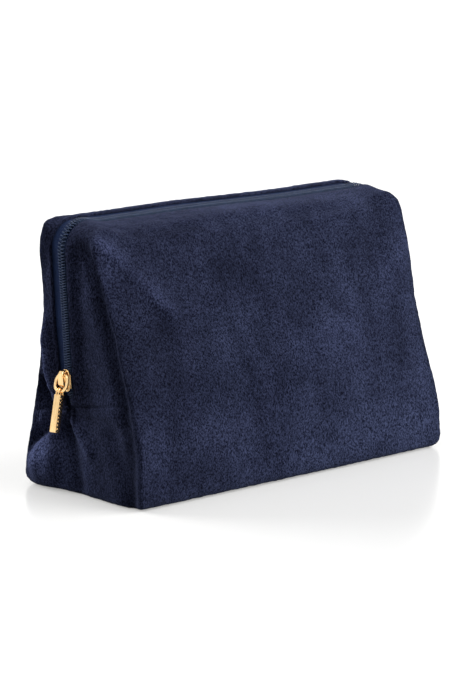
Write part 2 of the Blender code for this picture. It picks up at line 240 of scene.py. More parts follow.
def woven(name, dark, light, count, across, roughness, sheen):
    """A woven cloth on the piece's own map, which is in millimetres along and across."""
    material, tree, shader, add = new_material(name)
    place = add("ShaderNodeUVMap", uv_map="weave")
    warp = add("ShaderNodeTexWave", wave_type="BANDS", bands_direction="X", Scale=count, Distortion=0.4)
    weft = add("ShaderNodeTexWave", wave_type="BANDS", bands_direction="Y", Scale=across, Distortion=0.4)
    for wave in (warp, weft):
        tree.links.new(place.outputs["UV"], wave.inputs["Vector"])
    cross = add("ShaderNodeMath", operation="MULTIPLY")
    tree.links.new(warp.outputs["Fac"], cross.inputs[0])
    tree.links.new(weft.outputs["Fac"], cross.inputs[1])
    colour = ramp(tree, add, cross.outputs["Value"], [(0.0, dark), (0.7, light)])
    shade = ramp(tree, add, object_noise(tree, add, 120.0, 3.0),
                 [(0.3, (0.85, 0.85, 0.87)), (0.7, (1.12, 1.12, 1.12))])
    colour = mixed(tree, add, colour, shade)
    tree.links.new(colour, shader.inputs["Base Color"])
    shader.inputs["Roughness"].default_value = roughness
    shader.inputs["Specular IOR Level"].default_value = 0.12
    shader.inputs["Specular Tint"].default_value = (0.38, 0.50, 0.95, 1)
    shader.inputs["Sheen Weight"].default_value = sheen
    bump = add("ShaderNodeBump", Strength=0.6, Distance=0.0002)
    tree.links.new(cross.outputs["Value"], bump.inputs["Height"])
    tree.links.new(bump.outputs["Normal"], shader.inputs["Normal"])
    return material


def nylon():
    """The satin monofilament of the zip's coils."""
    material, tree, shader, add = new_material("coil_nylon")
    shade = object_noise(tree, add, 300.0, 2.0)
    colour = ramp(tree, add, shade, [(0.3, (0.014, 0.022, 0.050)), (0.7, (0.026, 0.040, 0.085))])
    tree.links.new(colour, shader.inputs["Base Color"])
    shader.inputs["Roughness"].default_value = 0.24
    shader.inputs["Specular IOR Level"].default_value = 0.45
    shader.inputs["Specular Tint"].default_value = (0.45, 0.62, 0.95, 1)
    return material


def gold():
    """Polished yellow-gold plating with faint polishing marks."""
    material, tree, shader, add = new_material("gold_plate")
    marks = object_noise(tree, add, 900.0, 3.0, 0.6, (1.0, 1.0, 0.12))
    colour = ramp(tree, add, marks, [(0.3, (0.84, 0.55, 0.25)), (0.7, (0.96, 0.69, 0.36))])
    tree.links.new(colour, shader.inputs["Base Color"])
    rough = add("ShaderNodeMapRange")
    rough.inputs["To Min"].default_value = 0.15
    rough.inputs["To Max"].default_value = 0.26
    tree.links.new(marks, rough.inputs["Value"])
    tree.links.new(rough.outputs["Result"], shader.inputs["Roughness"])
    shader.inputs["Metallic"].default_value = 1.0
    bump = add("ShaderNodeBump", Strength=0.15, Distance=0.0001)
    tree.links.new(marks, bump.inputs["Height"])
    tree.links.new(bump.outputs["Normal"], shader.inputs["Normal"])
    return material


VELOUR = velour()
TAPE_CLOTH = woven("tape_weave", (0.003, 0.007, 0.023), (0.017, 0.034, 0.100), 1.3, 2.2, 0.6, 0.02)
LINING_CLOTH = woven("lining_weave", (0.010, 0.014, 0.034), (0.028, 0.036, 0.078), 1.0, 1.0, 0.55, 0.1)
LABEL_CLOTH = woven("label_satin", (0.62, 0.62, 0.60), (0.82, 0.82, 0.79), 2.0, 0.6, 0.4, 0.0)
COIL_NYLON = nylon()
GOLD = gold()


# ---- small helpers ----
def new_piece(name, mesh, material):
    """A finished mesh as a piece of the scene, at the origin."""
    piece = bpy.data.objects.new(name, mesh)
    bpy.context.scene.collection.objects.link(piece)
    mesh.materials.clear()
    mesh.materials.append(material)
    return piece


def mesh_of(form, name):
    """A mesh from an editable form, which is used up."""
    mesh = bpy.data.meshes.new(name)
    form.to_mesh(mesh)
    form.free()
    return mesh


def only(piece):
    """Select one piece and make it active."""
    bpy.ops.object.select_all(action="DESELECT")
    piece.select_set(True)
    bpy.context.view_layer.objects.active = piece


def apply_all(piece):
    """Apply a piece's modifiers, top to bottom."""
    only(piece)
    for modifier in list(piece.modifiers):
        bpy.ops.object.modifier_apply(modifier=modifier.name)


def thickened(piece, thickness):
    """Give a sheet its thickness, on its inner side."""
    solid = piece.modifiers.new("thickness", "SOLIDIFY")
    solid.thickness = thickness
    solid.offset = -1
    apply_all(piece)


def bend(x, width):
    """A smooth step from 0 to x, rounded over a width."""
    return width * np.logaddexp(0, x / width)


def hump(x, middle, width):
    """A soft bump of height 1."""
    return np.exp(-((x - middle) / width) ** 2)


def step(x, low, high):
    """A smooth step from 0 at low to 1 at high."""
    t = np.clip((x - low) / (high - low), 0, 1)
    return t * t * (3 - 2 * t)


def coords(mesh):
    """A mesh's points as an array."""
    flat = np.empty(len(mesh.vertices) * 3)
    mesh.vertices.foreach_get("co", flat)
    return flat.reshape(-1, 3)


def set_coords(mesh, points):
    """Write an array back into a mesh's points."""
    mesh.vertices.foreach_set("co", np.ascontiguousarray(points).ravel())
    mesh.update()


def normals(mesh):
    """A mesh's vertex normals as an array."""
    flat = np.empty(len(mesh.vertices) * 3)
    mesh.vertices.foreach_get("normal", flat)
    return flat.reshape(-1, 3)


def soft_noise(points, scale, seed):
    """Smooth noise at each point, about -1 to 1."""
    shift = Vector((seed * 7.3, seed * 3.1, seed * 5.7))
    return np.array([noise.noise(Vector(p) * scale + shift) for p in points])


# ---- the stuffed form of the pouch ----
FRONT_SLOPE = (TOP_FRONT_Y - FRONT_FOOT) / (HEIGHT - BELLY_Z)
BACK_SLOPE = (TOP_BACK_Y - BACK_FOOT) / BACK_KNEE_Z
VOXEL = 0.0024
PUFF_CAP = 0.0030
PUFF_SHARE = 0.75


def front_y(z):
    """The front wall's place in Y at a height: a soft belly, then a straight lean."""
    return FRONT_FOOT + FRONT_SLOPE * bend(z - BELLY_Z, 0.007) - 0.0016 * hump(z, 0.030, 0.024)


def back_y(z):
    """The back wall's place in Y at a height."""
    lean = BACK_FOOT + BACK_SLOPE * (z - bend(z - BACK_KNEE_Z, 0.010))
    return lean - 0.0012 * hump(z, 0.110, 0.016) + 0.0012 * hump(z, 0.146, 0.010)


def rounded_block():
    """A box with the pouch's length and height, its edges rounded as the cloth turns them."""
    bpy.ops.object.select_all(action="DESELECT")
    bpy.ops.mesh.primitive_cube_add(size=1, location=(0, 0, HEIGHT / 2))
    block = bpy.context.object
    block.name = "stuffed_form"
    block.dimensions = (2 * END_X, 2 * BACK_FOOT, HEIGHT)
    bpy.ops.object.transform_apply(location=True, rotation=True, scale=True)
    form = bmesh.new()
    form.from_mesh(block.data)

    def edges_at(test):
        return [edge for edge in form.edges if all(test(vertex.co) for vertex in edge.verts)]

    near = 1e-5
    for side in (-1, 1):
        corner = edges_at(lambda co: abs(co.x - side * END_X) < near and abs(co.z - HEIGHT) < near)
        bmesh.ops.bevel(form, geom=corner, offset=CORNER, segments=8, profile=0.5, affect="EDGES")
    for side in (FRONT_FOOT, BACK_FOOT):
        rim = [edge for edge in edges_at(lambda co: abs(co.y - side) < near)
               if edge.calc_face_angle(0) > 1.2]
        bmesh.ops.bevel(form, geom=rim, offset=0.0046, segments=4, profile=0.5, affect="EDGES")
    foot = [edge for edge in edges_at(lambda co: abs(co.z) < near)
            if edge.is_manifold and edge.calc_face_angle(0) > 0.7]
    bmesh.ops.bevel(form, geom=foot, offset=0.0022, segments=3, profile=0.5, affect="EDGES")
    form.to_mesh(block.data)
    form.free()
    return block


def to_profile(points):
    """Move a box's points in Y so that its front and back follow the pouch's walls."""
    share = (points[:, 1] - FRONT_FOOT) / (BACK_FOOT - FRONT_FOOT)
    z = np.clip(points[:, 2], 0, HEIGHT)
    points[:, 1] = front_y(z) * (1 - share) + back_y(z) * share
    return points


def puffed(form):
    """Inflate the form a little as cloth, held along the zip and the base."""
    before = coords(form.data)
    hold = form.vertex_groups.new(name="hold")
    for index, (_, y, z) in enumerate(before):
        from_zip = abs(y - zip_y(z))
        held = max(1 - float(step(from_zip, 0.008, 0.016)) if z > SEAM_Z else 0.0,
                   1.0 - float(step(z, 0.002, 0.010)))
        hold.add([index], held, "REPLACE")
    cloth = form.modifiers.new("cloth", "CLOTH")
    cloth.settings.vertex_group_mass = "hold"
    cloth.settings.use_pressure = True
    cloth.settings.uniform_pressure_force = 3.0
    cloth.settings.effector_weights.gravity = 0
    cloth.settings.tension_stiffness = 25
    cloth.settings.compression_stiffness = 25
    cloth.settings.bending_stiffness = 2.0
    cloth.settings.quality = 6
    scene = bpy.context.scene
    for number in range(1, 17):
        scene.frame_set(number)
    apply_all(form)
    scene.frame_set(1)
    moved = coords(form.data) - before
    length = np.linalg.norm(moved, axis=1, keepdims=True)
    moved *= np.minimum(1, PUFF_CAP / np.maximum(length, 1e-9))
    return before, before + moved


def stuffed_form():
    """The whole closed cloth form, remeshed, puffed and smoothed."""
    form = rounded_block()
    only(form)
    remesh = form.modifiers.new("even", "REMESH")
    remesh.mode = "VOXEL"
    remesh.voxel_size = VOXEL
    remesh.use_smooth_shade = True
    apply_all(form)
    set_coords(form.data, to_profile(coords(form.data)))
    before, after = puffed(form)
    set_coords(form.data, before + PUFF_SHARE * (after - before))
    relax = form.modifiers.new("relax", "SMOOTH")
    relax.factor = 0.5
    relax.iterations = 6
    apply_all(form)
    scored = copy_form(form)
    slant = Vector((0, SEAM_RISE, 1)).normalized()
    for offset in (-0.0012, 0.0, 0.0012):
        score(scored, (0, zip_y(SEAM_Z), SEAM_Z - SEAM_DROP + offset), slant)
    scored.to_mesh(form.data)
    scored.free()
    return form


def near_line(y, z, points, width):
    """How near each point is to a line of (y, z) points, 1 on it and 0 far away."""
    best = np.full(len(y), 1e9)
    for (y0, z0), (y1, z1) in zip(points, points[1:]):
        dy, dz = y1 - y0, z1 - z0
        t = np.clip(((y - y0) * dy + (z - z0) * dz) / (dy * dy + dz * dz), 0, 1)
        best = np.minimum(best, np.hypot(y - y0 - t * dy, z - z0 - t * dz))
    return np.exp(-(best / width) ** 2)


# Lines of folds and hollows: (y, z) on the ends, (x, z) on the front.
PINCH = [(0.0335, 0.062), (0.0300, 0.050), (0.0262, 0.044), (0.0315, 0.0365), (0.0420, 0.027),
         (0.0480, 0.018)]
SIDE_RIDGE = [(0.0285, 0.106), (0.0275, 0.085), (0.0250, 0.070), (0.0205, 0.060)]
SHOULDER = [(0.0200, 0.046), (0.0228, 0.034), (0.0245, 0.010)]
SHORT_FOLD = [(0.0085, 0.043), (0.0000, 0.036), (-0.0065, 0.027)]
TROUGH = [(0.0120, 0.040), (0.0080, 0.026), (0.0040, 0.006)]
DENT = [(-0.030, 0.040), (-0.038, 0.022), (-0.041, 0.006)]
FRONT_RIDGE = [(-0.122, 0.155), (-0.106, 0.139), (-0.095, 0.125), (-0.080, 0.108)]
FRONT_DIP = [(0.100, 0.150), (0.085, 0.115), (0.070, 0.090)]
FRONT_SWELL = [(0.110, 0.120), (0.060, 0.085), (0.020, 0.075)]


def end_relief(y, z):
    """How far the left and right ends are pushed in by their hollows, folds and pinches."""
    front, back = front_y(z), back_y(z)
    from_front, from_back = y - front, back - y
    low = 1 - step(z, SEAM_Z - 0.006, SEAM_Z + 0.004)
    hollow_front = step(from_front, 0.0010, 0.0065) * step(zip_y(z) - y, 0.0045, 0.013)
    relief = 0.0036 * hollow_front * step(z, 0.045, 0.070) * (1 - low)
    relief += 0.0030 * hump(from_front, 0.0075, 0.0055) * step(zip_y(z) - y, 0.0045, 0.010)
    across = np.clip(1 - (2 * (y - (front + back) / 2) / (back - front)) ** 2, 0, 1)
    relief += low * 0.0032 * across
    inside_back = step(from_back, 0.0012, 0.0060)
    relief += 0.0070 * inside_back * near_line(y, z, PINCH, 0.0036)
    relief -= 0.0052 * near_line(y, z, SIDE_RIDGE, 0.0036) * step(0.112 - z, 0.0, 0.024) * inside_back
    relief -= 0.0034 * near_line(y, z, SHOULDER, 0.0050)
    relief -= 0.0080 * hump(y, 0.035, 0.0095) * hump(z, 0.016, 0.014)
    relief -= 0.0026 * near_line(y, z, SHORT_FOLD, 0.0036)
    relief += 0.0030 * near_line(y, z, TROUGH, 0.0048)
    relief += 0.0030 * near_line(y, z, DENT, 0.0070)
    return relief


def seam_line(y):
    """The height of the seam across an end, which climbs towards the front."""
    return SEAM_Z - SEAM_DROP + SEAM_RISE * (zip_y(SEAM_Z) - y)


def tuck(x, z):
    """How far the front wall is drawn in towards the right end."""
    return 0.0056 * hump(z, 0.060, 0.044) * step(x, 0.020, END_X)


def below_top(z):
    """1 on the walls, fading to 0 at the top."""
    return step(HEIGHT - z, 0.004, 0.022)


def right_draw(z):
    """How far the right end is drawn in by its slack cloth."""
    return 0.0024 * hump(z, 0.055, 0.038)


def sculpt(points):
    """Press the folds, hollows and soft ridges of the worn cloth into the form."""
    x, y, z = points.T.copy()
    side = np.sign(x)
    front, back = front_y(z), back_y(z)
    from_front, from_back = y - front, back - y
    on_end = step(np.abs(x), END_X - 0.010, END_X - 0.002) * below_top(z)
    mirrored = np.where(side < 0, 1.0, 0.75)
    seam = hump(z, seam_line(y), 0.0010) * step(from_front, 0.006, 0.040) * step(from_back, 0.004, 0.008)
    points[:, 0] -= side * on_end * (end_relief(y, z) * mirrored + 0.0017 * seam)
    # the cloth's creases stand out from its round corners
    for crease_y, way, lift in ((front, -1, 0.0003), (back, 1, 0.0016)):
        away = np.hypot(END_X - np.abs(x), y - crease_y)
        sharp = lift * hump(away, 0.0022, 0.0026) * step(HEIGHT - z, 0.006, 0.026) * step(z, 0.0, 0.006)
        points[:, 0] += side * 0.7 * sharp
        points[:, 1] += way * 0.7 * sharp
    # the back cloth puffs out round the top corners, mostly the left one
    beyond = np.hypot(np.maximum(np.abs(x) - CENTRE_X, 0), np.maximum(z - ARC_Z, 0))
    corner = step(beyond, 0.010, 0.017) * hump(np.abs(x) - CENTRE_X, z - ARC_Z, 0.012)
    corner *= step(y - zip_y(z), 0.0105, 0.0150) * np.where(side < 0, 1.0, 0.1)
    points[:, 0] += side * 0.0030 * corner
    points[:, 2] += 0.0030 * corner
    # soft diagonal swells on the front, straighter towards the right end
    on_front = 1 - step(from_front, 0.002, 0.009)
    swell = 0.0026 * near_line(x, z, FRONT_RIDGE, 0.0056)
    swell += 0.0012 * hump(x, 0.045, 0.05) * hump(z, 0.060, 0.035)
    swell -= 0.0012 * near_line(x, z, FRONT_DIP, 0.010)
    swell += 0.0010 * near_line(x, z, FRONT_SWELL, 0.009)
    points[:, 1] -= swell * on_front
    points[:, 0] -= right_draw(z) * step(x, END_X - 0.030, END_X)
    share = np.clip((back - y) / (back - front), 0, 1)
    points[:, 1] += tuck(x, z) * share
    # the right top corner stands fuller, and the top falls towards the front
    points[:, 2] += 0.0012 * hump(x, 0.119, 0.007) * step(z, ARC_Z, HEIGHT - 0.006)
    fall = 0.0004 + 0.0016 * (1 - step(x, -0.085, 0.010)) + 0.0012 * step(x, 0.010, 0.100)
    top = step(z, HEIGHT - 0.012, HEIGHT - 0.002)
    points[:, 2] -= fall * top * step(zip_y(HEIGHT) - y, 0.004, 0.020)
    return settle(points)


def settle(points):
    """Tip the top, with the zip's band, towards the front, and lower it towards the right end."""
    x, y, z = points.T
    tip = step(zip_y(z) + SLOT_BACK + 0.001 - y, 0.0, 0.0155)
    along = step(CENTRE_X + np.where(x > 0, 0.012, 0.004) - np.abs(x), 0.0, 0.018)
    tilt = 0.0026 * tip * along * step(z, HEIGHT - 0.016, HEIGHT - 0.005)
    dip = 0.0018 * step(z, HEIGHT - 0.015, HEIGHT - 0.005) * step(x, -0.040, 0.060)
    points[:, 2] -= tilt + dip
    return points


def gather(points):
    """Bring the cloth over the zip's ends together below the slider."""
    _, y, z = points.T.copy()
    offset = y - zip_y(z)
    above_foot = step(z, 0.030, SEAM_Z)
    nearing = (1 - step(z, 0.060, 0.104)) * above_foot
    closing = (1 - step(z, SEAM_Z + 0.003, 0.0625)) * above_foot
    back_shift = -(0.0024 * nearing + 0.0034 * closing)
    front_shift = 0.0030 * closing
    near_back = step(offset, 0.004, 0.008) * (1 - step(offset, 0.010, 0.022))
    near_front = (1 - step(offset, -0.003, -0.001)) * step(offset, -0.018, -0.004)
    points[:, 1] += back_shift * near_back + front_shift * near_front
    return points


def waver(points, directions):
    """Uneven hand-sewn softness, kept off the slot beside the zip."""
    _, y, z = points.T
    calm = step(np.abs(y - zip_y(z) - 0.003), 0.009, 0.018)
    calm = np.where(z < SEAM_Z - 0.006, 1.0, calm) * step(z, 0.001, 0.010)
    slow = soft_noise(points, 26.0, 1)
    quick = soft_noise(points, 70.0, 2)
    return points + directions * ((0.0009 * slow + 0.0004 * quick) * calm)[:, None]


# ---- cutting the cloths out of the form ----
def cut(form, point, normal):
    """Cut a form by a plane and keep the side that the normal leaves."""
    geometry = form.verts[:] + form.edges[:] + form.faces[:]
    bmesh.ops.bisect_plane(form, geom=geometry, plane_co=point, plane_no=normal, clear_outer=True)


def score(form, point, normal):
    """Cut a form by a plane and keep both sides."""
    geometry = form.verts[:] + form.edges[:] + form.faces[:]
    bmesh.ops.bisect_plane(form, geom=geometry, plane_co=point, plane_no=normal)


def inward_of(co):
    """The direction into the pouch from the band that holds the zip."""
    if co.z < ARC_Z:
        return Vector((-math.copysign(1, co.x), 0, 0))
    if abs(co.x) < CENTRE_X:
        return Vector((0, 0, -1))
    away = Vector((co.x - math.copysign(CENTRE_X, co.x), 0, co.z - ARC_Z))
    return -away.normalized()


def roll_edge(form, offset, toward):
    """Turn the cloth's edge beside the zip down into the slot."""
    near = 2e-5
    rim = [edge for edge in form.edges if edge.is_boundary and all(
        abs(vertex.co.y - zip_y(vertex.co.z) - offset) < near and vertex.co.z > SEAM_Z - 0.002
        for vertex in edge.verts)]
    for across, down in ((0.00035, 0.00015), (0.00025, 0.00035), (0.00005, 0.0006), (-0.0002, 0.0006)):
        made = bmesh.ops.extrude_edge_only(form, edges=rim)["geom"]
        rim = [item for item in made if isinstance(item, bmesh.types.BMEdge)]
        for vertex in [item for item in made if isinstance(item, bmesh.types.BMVert)]:
            vertex.co += inward_of(vertex.co) * down + Vector((0, toward * across, 0))


def painted_light_map(mesh):
    """A map whose U holds painted light and shade: above 0 a painted highlight, below 0 painted shade."""
    x, y, z = coords(mesh).T
    from_front = y - front_y(z)
    on_end = step(np.abs(x), END_X - 0.013, END_X - 0.004) * below_top(z)
    inside_back = step(back_y(z) - y, 0.001, 0.006)
    # painted light on the ends: the side ridge, the low back bulge, a band near the top and the short fold
    # are painted lighter; beside the front crease, along the trough and low by the back crease is painted
    # shade
    painted_light = 0.85 * near_line(y, z, SIDE_RIDGE, 0.0034) * step(0.116 - z, 0.0, 0.030)
    painted_light += 1.00 * hump(y, 0.031, 0.0180) * hump(z, 0.024, 0.022) * (1 - 0.5 * near_line(y, z, PINCH, 0.003))
    painted_light += 0.20 * hump(z, 0.128, 0.018)
    painted_light += 0.22 * near_line(y, z, SHORT_FOLD, 0.0040) + 0.25 * hump(y, 0.000, 0.012) * hump(z, 0.018, 0.016)
    painted_light -= 0.35 * hump(from_front, 0.0070, 0.0055) + 0.30 * near_line(y, z, TROUGH, 0.005)
    painted_light -= 0.55 * (1 - inside_back) * hump(z, 0.040, 0.022)
    painted_light *= on_end
    on_front = 1 - step(from_front, 0.001, 0.006)
    # painted light on the front: the diagonal swells, the top and the bottom by the left crease and the low
    # front are painted lighter; the middle left and the dip are painted darker
    brushing_and_painted_light = 0.28 * near_line(x, z, FRONT_RIDGE, 0.0060) + 0.18 * near_line(x, z, FRONT_SWELL, 0.012)
    brushing_and_painted_light += 0.22 * hump(x, -0.116, 0.006) * hump(z, 0.135, 0.020)
    brushing_and_painted_light += 0.16 * hump(x, -0.112, 0.010) * hump(z, 0.020, 0.030) + 0.09 * hump(z, 0.020, 0.040)
    brushing_and_painted_light -= 0.14 * hump(x, -0.092, 0.016) * hump(z, 0.075, 0.040)
    brushing_and_painted_light -= 0.16 * near_line(x, z, FRONT_DIP, 0.010)
    painted_light += brushing_and_painted_light * on_front
    corner = np.empty(len(mesh.loops), dtype=np.int32)
    mesh.loops.foreach_get("vertex_index", corner)
    flat = np.zeros((len(corner), 2))
    flat[:, 0] = painted_light[corner]
    mesh.uv_layers.new(name="nap").data.foreach_set("uv", flat.ravel())


def clumped(form):
    """Raise the pile in small uneven clumps along the cloth's normals."""
    points, directions = coords(form.data), normals(form.data)
    lift = 0.00022 * soft_noise(points, 420.0, 3) + 0.00018 * soft_noise(points, 190.0, 4)
    set_coords(form.data, points + directions * lift[:, None])


def finish_cloth(name, form):
    """Make a cut form a piece of cloth with its thickness inside."""
    mesh = mesh_of(form, name)
    set_coords(mesh, gather(coords(mesh)))
    piece = new_piece(name, mesh, VELOUR)
    only(piece)
    finer = piece.modifiers.new("finer", "SUBSURF")
    finer.subdivision_type = "SIMPLE"
    finer.levels = 1
    finer.render_levels = 1
    apply_all(piece)
    clumped(piece)
    painted_light_map(piece.data)
    thickened(piece, CLOTH)
    bpy.ops.object.shade_smooth()
    return piece


def copy_form(source):
    """A fresh editable copy of the stuffed form."""
    form = bmesh.new()
    form.from_mesh(source.data)
    return form


def drop_faces(form, test):
    """Delete the faces whose middle passes a test."""
    gone = [face for face in form.faces if test(face.calc_center_median())]
    bmesh.ops.delete(form, geom=gone, context="FACES")


FLOOR_CUT = 0.0012
SLOT_NORMAL = Vector((0, 1, -ZIP_LEAN)).normalized()


def halved(form, slot, strip, side, off_floor):
    """Keep the front (-1) or back (1) of a form.

    It is split at the zip's slot and, below the seam, at a strip.  off_floor also takes its base away.
    """
    score(form, (0, zip_y(0) + slot, 0), SLOT_NORMAL)
    score(form, (0, 0, SEAM_Z), (0, 0, 1))
    if off_floor:
        cut(form, (0, 0, FLOOR_CUT), (0, 0, -1))
    drop_faces(form, lambda co: co.z > SEAM_Z and side * (zip_y(co.z) + slot - co.y) > 0)
    drop_faces(form, lambda co: co.z < SEAM_Z and side * (strip(co.z) - co.y) > 0)


def wall_cloth(source, offset, side):
    """The cloth of one wall with its wraps, its edge turned down beside the zip."""
    cloth = copy_form(source)
    halved(cloth, offset, lambda z: float(back_y(z)) - STRIP_BACK, side, True)
    roll_edge(cloth, offset, -side)
    return cloth


def cloths(source):
    """Front cloth with the boxed ends, back cloth and base cloth."""
    front = wall_cloth(source, -SLOT_FRONT - ROLL, -1)
    back = wall_cloth(source, SLOT_BACK + ROLL, 1)
    base = copy_form(source)
    cut(base, (0, 0, FLOOR_CUT), (0, 0, 1))
    return [finish_cloth(name, form) for name, form in
            (("front_cloth", front), ("back_cloth", back), ("base_cloth", base))]


form = stuffed_form()
shaped = sculpt(coords(form.data))
set_coords(form.data, shaped)
set_coords(form.data, waver(shaped, normals(form.data)))
front_cloth, back_cloth, base_cloth = cloths(form)

# ---- lining ----
LINING_SLOT = 0.0078


def weave_map(mesh):
    """A map in millimetres that lays the weave flat on each wall."""
    layer = mesh.uv_layers.new(name="weave")
    for polygon in mesh.polygons:
        x, y, z = (abs(part) for part in polygon.normal)
        for loop in polygon.loop_indices:
            co = mesh.vertices[mesh.loops[loop].vertex_index].co * 1000
            if x > max(y, z):
                layer.data[loop].uv = (co.y, co.z)
            elif y > z:
                layer.data[loop].uv = (co.x, co.z)
            else:
                layer.data[loop].uv = (co.x, co.y)


def kept_inside(points):
    """Hold the lining behind the walls where the creases are sharp and the ends are hollow."""
    x, y, z = points.T.copy()
    front_limit = front_y(z) + tuck(x, z) * 0.9 + 0.0036
    points[:, 1] = np.clip(y, front_limit, back_y(z) - 0.0040)
    hollow = np.maximum(end_relief(points[:, 1], z), 0.0) * below_top(z)
    drawn = right_draw(z) * (x > 0)
    points[:, 0] = np.sign(x) * np.minimum(np.abs(x), END_X - 0.0040 - hollow - drawn)
    return points


def lining_part(name, side):
    """The lining behind the front wall (-1), or behind the back wall, the ends and the base (1)."""
    inside = copy_form(form)
    inside.normal_update()
    for vertex in inside.verts:
        vertex.co -= vertex.normal * WALL_STACK
    halved(inside, side * LINING_SLOT, lambda z: float(front_y(z)) + STRIP_FRONT, side, False)
    mesh = mesh_of(inside, name)
    set_coords(mesh, kept_inside(coords(mesh)))
    weave_map(mesh)
    piece = new_piece(name, mesh, LINING_CLOTH)
    thickened(piece, LINING_THICK)
    bpy.ops.object.shade_smooth()
    return piece


front_lining = lining_part("lining_front", -1)
rear_lining = lining_part("lining_rear", 1)

# ---- zip ----
RISE = ARC_Z - SEAM_Z
TURN = (CORNER - TAPE_DEPTH) * math.pi / 2
TOP_RUN = 2 * CENTRE_X
ZIP_LENGTH = 2 * RISE + 2 * TURN + TOP_RUN
ZIP_END_SINK = 0.0024
FRONT_TAPE_DIP = 0.0034


def zip_place(s, depth):
    """The zip's point at a length along its path, up one end, over the top and down the other."""
    if s < RISE:
        return Vector((-END_X + depth, 0, SEAM_Z + s))
    s -= RISE
    if s < TURN:
        angle = math.pi / 2 * s / TURN
        out = Vector((-math.cos(angle), 0, math.sin(angle)))
        return Vector((-CENTRE_X, 0, ARC_Z)) + out * (CORNER - depth)
    s -= TURN
    if s < TOP_RUN:
        return Vector((-CENTRE_X + s, 0, HEIGHT - depth))
    s -= TOP_RUN
    if s < TURN:
        angle = math.pi / 2 * (1 - s / TURN)
        out = Vector((math.cos(angle), 0, math.sin(angle)))
        return Vector((CENTRE_X, 0, ARC_Z)) + out * (CORNER - depth)
    s -= TURN
    return Vector((END_X - depth, 0, ARC_Z - s))


def on_zip(s, depth, offset):
    """A point beside the zip line, at a length, a depth and an offset towards the back."""
    sunk = ZIP_END_SINK * (1 - float(step(min(s, ZIP_LENGTH - s), 0.0045, 0.0100)))
    place = zip_place(s, depth + sunk)
    return place + Vector((0, zip_y(place.z) + offset, 0))


def tape(name, inner, outer):
    """One woven tape, with its map running along it."""
    strip = bmesh.new()
    bmesh.ops.create_grid(strip, x_segments=12, y_segments=230, size=1.0)
    layer = strip.loops.layers.uv.new("weave")
    spots = {}
    for vertex in strip.verts:
        s = (vertex.co.y + 1) / 2 * ZIP_LENGTH
        offset = inner + (outer - inner) * (vertex.co.x + 1) / 2
        spots[vertex.index] = (s, offset)
        bow = 0.00012 * math.sin(s / 0.011) * abs(offset) / TAPE_WIDTH
        dip = FRONT_TAPE_DIP * float(step(abs(offset), 0.0045, TAPE_WIDTH)) if inner < 0 else 0.0
        vertex.co = on_zip(s, TAPE_DEPTH + bow + dip, offset)
    for face in strip.faces:
        for loop in face.loops:
            s, offset = spots[loop.vert.index]
            loop[layer].uv = (offset * 1000, s * 1000)
    bmesh.ops.recalc_face_normals(strip, faces=strip.faces)
    strip.faces.ensure_lookup_table()
    middle = strip.faces[len(strip.faces) // 2]
    if middle.normal.z < 0:
        bmesh.ops.reverse_faces(strip, faces=strip.faces)
    piece = new_piece(name, mesh_of(strip, name), TAPE_CLOTH)
    thickened(piece, TAPE_THICK)
    bpy.ops.object.shade_smooth_by_angle(angle=math.radians(40))
    return piece


def turn_places():
    """Where each turn of the coil sits: closer on the straights, opened where the zip bends."""
    places = []
    s = 0.0015
    while s < ZIP_LENGTH - 0.0012:
        places.append(s)
        opened = hump(s, RISE + TURN * 0.3, 0.013) + hump(s, ZIP_LENGTH - RISE - TURN * 0.3, 0.013)
        s += COIL_PITCH * (1 + 0.32 * float(opened))
    return places


TURNS = turn_places()
COIL_WIRE = 0.00036
COIL_RISE = 0.0019
COIL_HEAD = -0.0004
STEPS_A_TURN = 10


def wire_mesh(name, points, radius, closed, resolution):
    """A round wire through points, as a mesh."""
    curve = bpy.data.curves.new(name, "CURVE")
    curve.dimensions = "3D"
    curve.bevel_depth = radius
    curve.bevel_resolution = resolution
    curve.use_fill_caps = not closed
    line = curve.splines.new("POLY")
    line.points.add(len(points) - 1)
    for point, place in zip(line.points, points):
        point.co = (*place, 1)
    line.use_cyclic_u = closed
    wire = bpy.data.objects.new(name + "_wire", curve)
    bpy.context.scene.collection.objects.link(wire)
    bpy.context.view_layer.update()
    mesh = bpy.data.meshes.new_from_object(wire.evaluated_get(bpy.context.evaluated_depsgraph_get()))
    bpy.data.objects.remove(wire, do_unlink=True)
    return mesh


def coil(name, side):
    """One coil of the zip: a flattened helix, its heads meshing across the zip line."""
    points = []
    foot = COIL_OUTER - COIL_WIRE
    for s, after in zip(TURNS, TURNS[1:] + [TURNS[-1] + COIL_PITCH]):
        pitch = after - s
        for i in range(STEPS_A_TURN):
            phase = i / STEPS_A_TURN
            angle = 2 * math.pi * phase
            wide = (1 - math.cos(angle)) / 2
            offset = COIL_HEAD + (foot - COIL_HEAD) * wide ** 0.8
            lift = math.sin(angle)
            height = TAPE_DEPTH - 0.0002 - COIL_RISE * (0.5 + 0.5 * math.copysign(abs(lift) ** 0.55, lift))
            along = s + pitch * (phase + (0.5 if side > 0 else 0.0))
            points.append(on_zip(min(along, ZIP_LENGTH - COIL_WIRE), height, side * offset))
    piece = new_piece(name, wire_mesh(name, points, COIL_WIRE, False, 1), COIL_NYLON)
    only(piece)
    bpy.ops.object.shade_smooth()
    return piece


tape_back = tape("tape_back", TAPE_GAP, TAPE_WIDTH)
tape_front = tape("tape_front", -TAPE_WIDTH, -TAPE_GAP)
coil_back = coil("coil_back", 1)
coil_front = coil("coil_front", -1)
for part in (tape_back, tape_front, coil_back, coil_front):
    set_coords(part.data, settle(coords(part.data)))

# ---- slider, ring and bar ----
SLIDER_TURN = Matrix.Rotation(-math.atan(ZIP_LEAN), 4, "X")
SLIDER_FRAME = Matrix.Translation((-END_X, zip_y(SLIDER_MID.z), SLIDER_MID.z)) @ SLIDER_TURN


